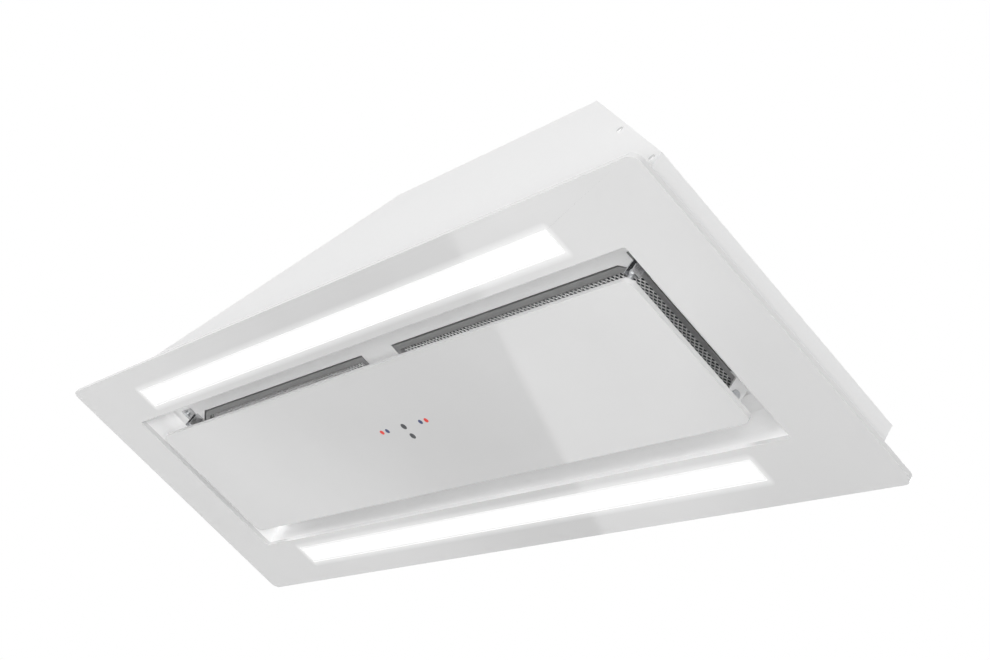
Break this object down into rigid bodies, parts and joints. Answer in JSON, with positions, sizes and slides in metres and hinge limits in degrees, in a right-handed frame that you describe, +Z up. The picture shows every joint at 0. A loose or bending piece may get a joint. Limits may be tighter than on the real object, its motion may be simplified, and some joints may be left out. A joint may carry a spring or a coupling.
{
  "type": "built-in range hood",
  "caption": "Cabinet-insert extractor hood with a white glass frame, light windows, a drop-down glass panel and perimeter suction slots under a sloped steel casing.",
  "frame": {"origin": "middle of the hood, on the upper face of the support flange that seats under the cabinet floor", "axes": "+X along the hood towards the outlet side, +Y to the rear, +Z up"},
  "size_m": [0.86, 0.292, 0.2075],
  "materials": {
    "white_glass": "gloss",
    "white_paint": "satin",
    "steel": "satin",
    "aluminium": "satin",
    "mesh": "satin",
    "diffuser": "matte",
    "dark_plastic": "matte",
    "grey_plastic": "matte",
    "white_plastic": "matte",
    "rubber": "matte",
    "board": "satin",
    "mark_dark": "gloss",
    "mark_red": "gloss",
    "mark_blue": "gloss"
  },
  "bodies": {
    "housing": {"glass_frame": "white_glass", "support_flange": "steel", "recess_tray": "white_paint", "light_diffuser_front": "diffuser", "light_diffuser_rear": "diffuser", "light_housing_front": "aluminium", "light_housing_rear": "aluminium", "led_strip_front": "white_plastic", "led_strip_rear": "white_plastic", "casing_left": "white_paint", "casing_top": "white_paint", "casing_right": "white_paint", "casing_front_panel": "white_paint", "casing_rear_panel": "white_paint", "casing_screws": "steel", "filter_frame_left": "aluminium", "filter_frame_right": "aluminium", "filter_mesh_left": "mesh", "filter_mesh_right": "mesh", "hinge_bracket_left": "white_paint", "hinge_bracket_right": "white_paint", "hinge_pins": "steel", "catch_clip_left": "steel", "catch_clip_right": "steel", "bracket_screws": "steel", "blower_deck": "steel", "scroll_lower": "grey_plastic", "scroll_upper": "grey_plastic", "scroll_screws": "steel", "motor_can": "aluminium", "motor_bushes": "rubber", "motor_screws": "steel", "run_capacitor": "white_plastic", "capacitor_clip": "steel", "outlet_box": "grey_plastic", "outlet_collar": "dark_plastic", "collar_screws": "steel", "flap_axle": "steel", "control_box": "white_plastic", "control_box_lid": "white_plastic", "terminal_block": "white_plastic", "led_driver": "white_plastic", "cable_gland": "dark_plastic", "gland_nut": "dark_plastic"},
    "panel": {"panel_glass": "white_glass", "panel_tray": "white_paint", "hinge_arms": "steel", "catch_studs": "steel", "touch_board": "board", "touch_cover": "dark_plastic", "touch_mark_dark": "mark_dark", "touch_mark_red": "mark_red", "touch_mark_blue": "mark_blue"},
    "impeller": {"impeller": "dark_plastic", "motor_shaft": "steel", "impeller_nut": "steel"},
    "latch_left": {"filter_latch_left": "dark_plastic"},
    "latch_right": {"filter_latch_right": "dark_plastic"},
    "flap_left": {"flap_left": "grey_plastic"},
    "flap_right": {"flap_right": "grey_plastic"}
  },
  "joints": [
    {"name": "panel_hinge", "type": "hinge", "parent": "housing", "child": "panel", "pos_m": [0, 0.056, 0.012], "axis": [1, 0, 0], "range_deg": [0, 90]},
    {"name": "impeller_spin", "type": "hinge", "parent": "housing", "child": "impeller", "pos_m": [0.02, 0, 0.1], "axis": [0, 0, 1], "continuous": true},
    {"name": "latch_left_slide", "type": "slide", "parent": "housing", "child": "latch_left", "axis": [-1, 0, 0], "range_m": [0, 0.0055], "stiffness_N_per_m": 500, "springref_m": -0.001},
    {"name": "latch_right_slide", "type": "slide", "parent": "housing", "child": "latch_right", "axis": [1, 0, 0], "range_m": [0, 0.0055], "stiffness_N_per_m": 500, "springref_m": -0.001},
    {"name": "flap_left_swing", "type": "hinge", "parent": "housing", "child": "flap_left", "pos_m": [0.125, 0, 0.178], "axis": [0, 1, 0], "range_deg": [0, 80]},
    {"name": "flap_right_swing", "type": "hinge", "parent": "housing", "child": "flap_right", "pos_m": [0.125, 0, 0.178], "axis": [0, -1, 0], "range_deg": [0, 80]}
  ]
}
